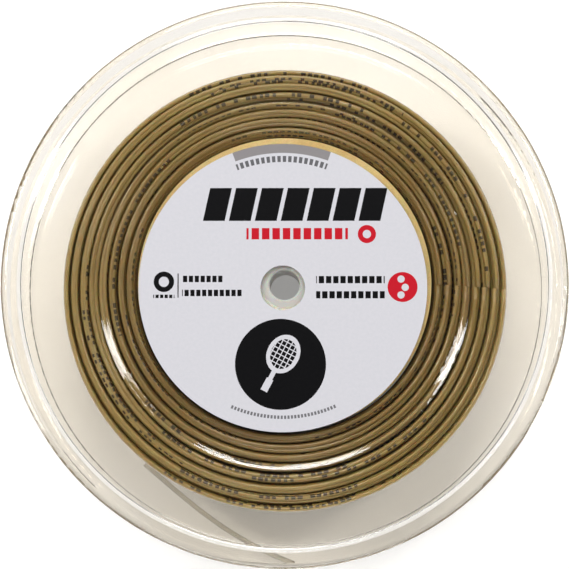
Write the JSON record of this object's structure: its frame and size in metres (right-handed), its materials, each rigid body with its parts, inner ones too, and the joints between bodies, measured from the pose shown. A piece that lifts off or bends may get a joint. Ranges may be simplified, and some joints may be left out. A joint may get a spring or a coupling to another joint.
{
  "type": "string reel",
  "caption": "Clear plastic spool with a round face label, wound with racket string whose loose end is caught in a rim slot.",
  "frame": {"origin": "on the spindle axis, in the plane of the rear rim's resting face", "axes": "+Z along the spindle axis towards the labelled front face, +Y towards the label's top, +X to the right of a reader facing the label"},
  "size_m": [0.15, 0.15, 0.037],
  "materials": {
    "clear_plastic": "polished, transparent moulding",
    "natural_plastic": "natural, milky moulding",
    "printed_label": "gloss-laminated print",
    "string": "glossy translucent coating"
  },
  "bodies": {
    "root": {"front_flange": "clear_plastic", "rear_flange": "clear_plastic", "hub_drum": "clear_plastic", "spindle_tube": "natural_plastic", "front_label": "printed_label", "string_winding": "string", "string_tail": "string", "string_inner_end": "string"}
  },
  "joints": []
}
